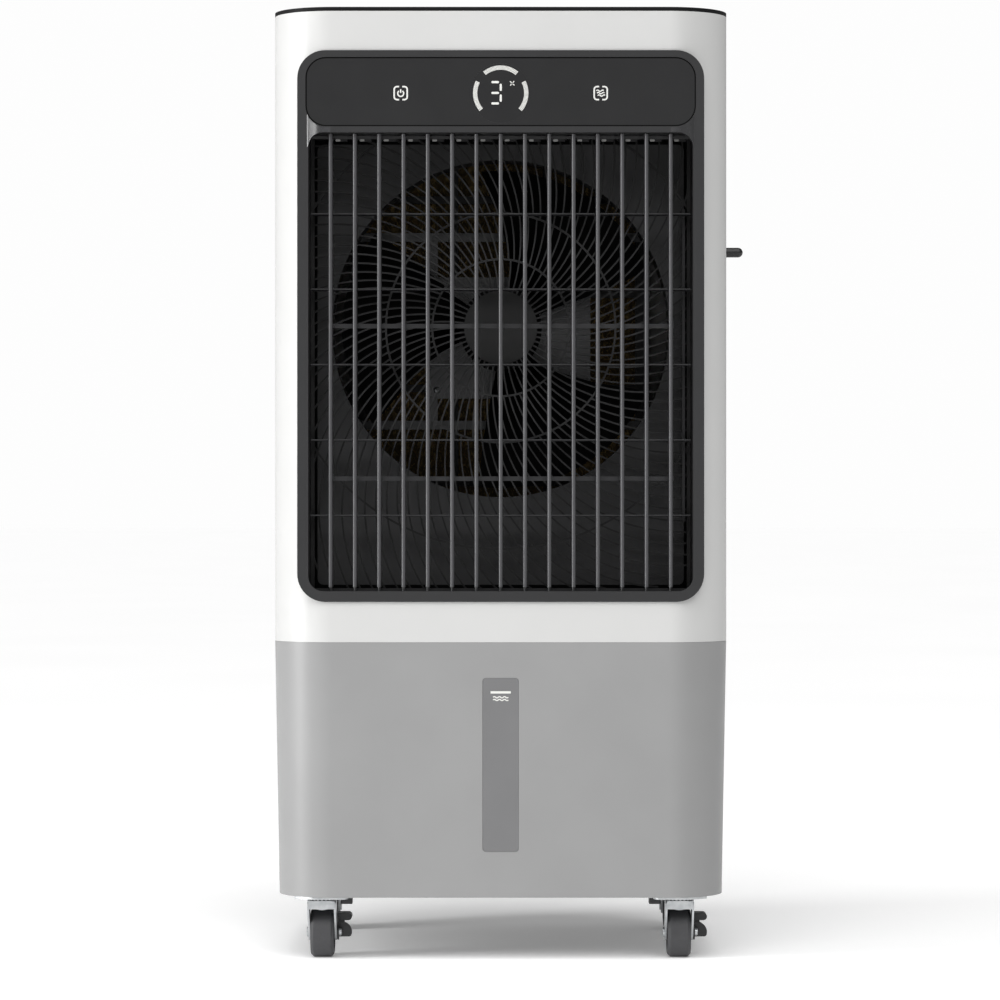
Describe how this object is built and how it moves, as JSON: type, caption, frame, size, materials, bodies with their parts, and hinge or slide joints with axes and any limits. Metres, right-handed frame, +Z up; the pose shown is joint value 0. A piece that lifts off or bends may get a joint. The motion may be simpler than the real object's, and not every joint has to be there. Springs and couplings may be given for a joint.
{
  "type": "evaporative cooler",
  "caption": "Upright evaporative air cooler on swivel casters: grey water tank, white housing, dark front bezel with a control panel, upright vanes and louvres over a guarded fan.",
  "frame": {"origin": "on the floor below the middle of the body's plan", "axes": "+Z up, -Y out of the front, +X to the right seen from the front"},
  "size_m": [0.488, 0.374, 0.956],
  "materials": {
    "tank_grey": "satin moulded",
    "shell_white": "satin moulded",
    "bezel_dark": "fine satin",
    "lens_dark": "gloss",
    "guard_dark": "matte",
    "black_plastic": "matte",
    "vane_grey": "satin",
    "motor_metal": "cast",
    "zinc_steel": "zinc plated",
    "pad_paper": "corrugated cellulose",
    "tray_plastic": "satin",
    "hose_plastic": "flexible",
    "window_clear": "smoked clear",
    "wheel_rubber": "moulded"
  },
  "bodies": {
    "cabinet": {"tank": "tank_grey", "housing": "shell_white", "top_cover": "bezel_dark", "front_bezel": "bezel_dark", "control_panel": "bezel_dark", "display_lens": "lens_dark", "fan_guard": "guard_dark", "shroud": "black_plastic", "fan_motor": "motor_metal", "motor_bracket": "zinc_steel", "rear_grille": "shell_white", "cooling_pad": "pad_paper", "pad_frame": "black_plastic", "water_tray": "tray_plastic", "water_pump": "black_plastic", "water_hose": "hose_plastic", "level_window": "window_clear", "drain_plug": "black_plastic", "cord_gland": "black_plastic", "side_hook": "black_plastic", "swing_motor": "motor_metal", "mount_fl": "zinc_steel", "mount_fr": "zinc_steel", "mount_rl": "zinc_steel", "mount_rr": "zinc_steel"},
    "lid": {"top_lid": "black_plastic"},
    "fan": {"fan": "black_plastic"},
    "vane_1": {"vane_1": "vane_grey"},
    "vane_2": {"vane_2": "vane_grey"},
    "vane_3": {"vane_3": "vane_grey"},
    "vane_4": {"vane_4": "vane_grey"},
    "vane_5": {"vane_5": "vane_grey"},
    "vane_6": {"vane_6": "vane_grey"},
    "vane_7": {"vane_7": "vane_grey"},
    "vane_8": {"vane_8": "vane_grey"},
    "vane_9": {"vane_9": "vane_grey"},
    "vane_10": {"vane_10": "vane_grey"},
    "vane_11": {"vane_11": "vane_grey"},
    "vane_12": {"vane_12": "vane_grey"},
    "vane_13": {"vane_13": "vane_grey"},
    "vane_14": {"vane_14": "vane_grey"},
    "vane_15": {"vane_15": "vane_grey"},
    "vane_link_low": {"vane_link_low": "vane_grey"},
    "vane_link_high": {"vane_link_high": "vane_grey"},
    "louvre_1": {"louvre_1": "vane_grey"},
    "louvre_2": {"louvre_2": "vane_grey"},
    "louvre_3": {"louvre_3": "vane_grey"},
    "louvre_4": {"louvre_4": "vane_grey"},
    "louvre_5": {"louvre_5": "vane_grey"},
    "louvre_link": {"louvre_link": "vane_grey"},
    "caster_fl": {"fork_fl": "zinc_steel"},
    "wheel_fl": {"wheel_fl": "wheel_rubber"},
    "caster_fr": {"fork_fr": "zinc_steel"},
    "wheel_fr": {"wheel_fr": "wheel_rubber"},
    "caster_rl": {"fork_rl": "zinc_steel"},
    "wheel_rl": {"wheel_rl": "wheel_rubber"},
    "caster_rr": {"fork_rr": "zinc_steel"},
    "wheel_rr": {"wheel_rr": "wheel_rubber"},
    "brake_fl": {"brake_fl": "black_plastic"},
    "brake_fr": {"brake_fr": "black_plastic"}
  },
  "joints": [
    {"name": "lid_hinge", "type": "hinge", "parent": "cabinet", "child": "lid", "pos_m": [0, 0.092, 0.9545], "axis": [-1, 0, 0], "range_deg": [0, 95]},
    {"name": "fan_spin", "type": "hinge", "parent": "cabinet", "child": "fan", "pos_m": [0, -0.099, 0.6377], "axis": [0, 1, 0], "continuous": true},
    {"name": "vane_swing", "type": "hinge", "parent": "cabinet", "child": "vane_1", "pos_m": [-0.17052, -0.171, 0.60085], "axis": [0, 0, 1], "range_deg": [-30, 30]},
    {"name": "vane_2_swing", "type": "hinge", "parent": "cabinet", "child": "vane_2", "pos_m": [-0.14616, -0.171, 0.60085], "axis": [0, 0, 1], "range_deg": [-31, 31]},
    {"name": "vane_3_swing", "type": "hinge", "parent": "cabinet", "child": "vane_3", "pos_m": [-0.1218, -0.171, 0.60085], "axis": [0, 0, 1], "range_deg": [-31, 31]},
    {"name": "vane_4_swing", "type": "hinge", "parent": "cabinet", "child": "vane_4", "pos_m": [-0.09744, -0.171, 0.60085], "axis": [0, 0, 1], "range_deg": [-31, 31]},
    {"name": "vane_5_swing", "type": "hinge", "parent": "cabinet", "child": "vane_5", "pos_m": [-0.07308, -0.171, 0.60085], "axis": [0, 0, 1], "range_deg": [-31, 31]},
    {"name": "vane_6_swing", "type": "hinge", "parent": "cabinet", "child": "vane_6", "pos_m": [-0.04872, -0.171, 0.60085], "axis": [0, 0, 1], "range_deg": [-31, 31]},
    {"name": "vane_7_swing", "type": "hinge", "parent": "cabinet", "child": "vane_7", "pos_m": [-0.02436, -0.171, 0.60085], "axis": [0, 0, 1], "range_deg": [-31, 31]},
    {"name": "vane_8_swing", "type": "hinge", "parent": "cabinet", "child": "vane_8", "pos_m": [0, -0.171, 0.60085], "axis": [0, 0, 1], "range_deg": [-31, 31]},
    {"name": "vane_9_swing", "type": "hinge", "parent": "cabinet", "child": "vane_9", "pos_m": [0.02436, -0.171, 0.60085], "axis": [0, 0, 1], "range_deg": [-31, 31]},
    {"name": "vane_10_swing", "type": "hinge", "parent": "cabinet", "child": "vane_10", "pos_m": [0.04872, -0.171, 0.60085], "axis": [0, 0, 1], "range_deg": [-31, 31]},
    {"name": "vane_11_swing", "type": "hinge", "parent": "cabinet", "child": "vane_11", "pos_m": [0.07308, -0.171, 0.60085], "axis": [0, 0, 1], "range_deg": [-31, 31]},
    {"name": "vane_12_swing", "type": "hinge", "parent": "cabinet", "child": "vane_12", "pos_m": [0.09744, -0.171, 0.60085], "axis": [0, 0, 1], "range_deg": [-31, 31]},
    {"name": "vane_13_swing", "type": "hinge", "parent": "cabinet", "child": "vane_13", "pos_m": [0.1218, -0.171, 0.60085], "axis": [0, 0, 1], "range_deg": [-31, 31]},
    {"name": "vane_14_swing", "type": "hinge", "parent": "cabinet", "child": "vane_14", "pos_m": [0.14616, -0.171, 0.60085], "axis": [0, 0, 1], "range_deg": [-31, 31]},
    {"name": "vane_15_swing", "type": "hinge", "parent": "cabinet", "child": "vane_15", "pos_m": [0.17052, -0.171, 0.60085], "axis": [0, 0, 1], "range_deg": [-31, 31]},
    {"name": "vane_link_low_slide", "type": "slide", "parent": "cabinet", "child": "vane_link_low", "axis": [1, 0, 0], "range_m": [-0.0066, 0.0066]},
    {"name": "vane_link_high_slide", "type": "slide", "parent": "cabinet", "child": "vane_link_high", "axis": [1, 0, 0], "range_m": [-0.0066, 0.0066]},
    {"name": "louvre_tilt", "type": "hinge", "parent": "cabinet", "child": "louvre_1", "pos_m": [0, -0.14, 0.44705], "axis": [1, 0, 0], "range_deg": [-20, 20]},
    {"name": "louvre_2_tilt", "type": "hinge", "parent": "cabinet", "child": "louvre_2", "pos_m": [0, -0.14, 0.52315], "axis": [1, 0, 0], "range_deg": [-21, 21]},
    {"name": "louvre_3_tilt", "type": "hinge", "parent": "cabinet", "child": "louvre_3", "pos_m": [0, -0.14, 0.59925], "axis": [1, 0, 0], "range_deg": [-21, 21]},
    {"name": "louvre_4_tilt", "type": "hinge", "parent": "cabinet", "child": "louvre_4", "pos_m": [0, -0.14, 0.67535], "axis": [1, 0, 0], "range_deg": [-21, 21]},
    {"name": "louvre_5_tilt", "type": "hinge", "parent": "cabinet", "child": "louvre_5", "pos_m": [0, -0.14, 0.75145], "axis": [1, 0, 0], "range_deg": [-21, 21]},
    {"name": "louvre_link_slide", "type": "slide", "parent": "cabinet", "child": "louvre_link", "axis": [0, 0, 1], "range_m": [-0.003, 0.003]},
    {"name": "swivel_fl", "type": "hinge", "parent": "cabinet", "child": "caster_fl", "pos_m": [-0.1803, -0.149, 0.0579], "axis": [0, 0, 1], "continuous": true},
    {"name": "roll_fl", "type": "hinge", "parent": "caster_fl", "child": "wheel_fl", "pos_m": [-0.1803, -0.131, 0.025], "axis": [1, 0, 0], "continuous": true},
    {"name": "swivel_fr", "type": "hinge", "parent": "cabinet", "child": "caster_fr", "pos_m": [0.1803, -0.149, 0.0579], "axis": [0, 0, 1], "continuous": true},
    {"name": "roll_fr", "type": "hinge", "parent": "caster_fr", "child": "wheel_fr", "pos_m": [0.1803, -0.131, 0.025], "axis": [1, 0, 0], "continuous": true},
    {"name": "swivel_rl", "type": "hinge", "parent": "cabinet", "child": "caster_rl", "pos_m": [-0.1875, 0.113, 0.0579], "axis": [0, 0, 1], "continuous": true},
    {"name": "roll_rl", "type": "hinge", "parent": "caster_rl", "child": "wheel_rl", "pos_m": [-0.1875, 0.131, 0.025], "axis": [1, 0, 0], "continuous": true},
    {"name": "swivel_rr", "type": "hinge", "parent": "cabinet", "child": "caster_rr", "pos_m": [0.1875, 0.113, 0.0579], "axis": [0, 0, 1], "continuous": true},
    {"name": "roll_rr", "type": "hinge", "parent": "caster_rr", "child": "wheel_rr", "pos_m": [0.1875, 0.131, 0.025], "axis": [1, 0, 0], "continuous": true},
    {"name": "brake_press_fl", "type": "hinge", "parent": "caster_fl", "child": "brake_fl", "pos_m": [-0.1643, -0.131, 0.025], "axis": [1, 0, 0], "range_deg": [-18, 0]},
    {"name": "brake_press_fr", "type": "hinge", "parent": "caster_fr", "child": "brake_fr", "pos_m": [0.1963, -0.131, 0.025], "axis": [1, 0, 0], "range_deg": [-18, 0]}
  ],
  "couplings": [
    {"joint": "vane_2_swing", "follows": "vane_swing", "ratio": 1},
    {"joint": "vane_3_swing", "follows": "vane_swing", "ratio": 1},
    {"joint": "vane_4_swing", "follows": "vane_swing", "ratio": 1},
    {"joint": "vane_5_swing", "follows": "vane_swing", "ratio": 1},
    {"joint": "vane_6_swing", "follows": "vane_swing", "ratio": 1},
    {"joint": "vane_7_swing", "follows": "vane_swing", "ratio": 1},
    {"joint": "vane_8_swing", "follows": "vane_swing", "ratio": 1},
    {"joint": "vane_9_swing", "follows": "vane_swing", "ratio": 1},
    {"joint": "vane_10_swing", "follows": "vane_swing", "ratio": 1},
    {"joint": "vane_11_swing", "follows": "vane_swing", "ratio": 1},
    {"joint": "vane_12_swing", "follows": "vane_swing", "ratio": 1},
    {"joint": "vane_13_swing", "follows": "vane_swing", "ratio": 1},
    {"joint": "vane_14_swing", "follows": "vane_swing", "ratio": 1},
    {"joint": "vane_15_swing", "follows": "vane_swing", "ratio": 1},
    {"joint": "vane_link_low_slide", "follows": "vane_swing", "m_per_rad": -0.012},
    {"joint": "vane_link_high_slide", "follows": "vane_swing", "m_per_rad": -0.012},
    {"joint": "louvre_2_tilt", "follows": "louvre_tilt", "ratio": 1},
    {"joint": "louvre_3_tilt", "follows": "louvre_tilt", "ratio": 1},
    {"joint": "louvre_4_tilt", "follows": "louvre_tilt", "ratio": 1},
    {"joint": "louvre_5_tilt", "follows": "louvre_tilt", "ratio": 1},
    {"joint": "louvre_link_slide", "follows": "louvre_tilt", "m_per_rad": 0.008}
  ]
}
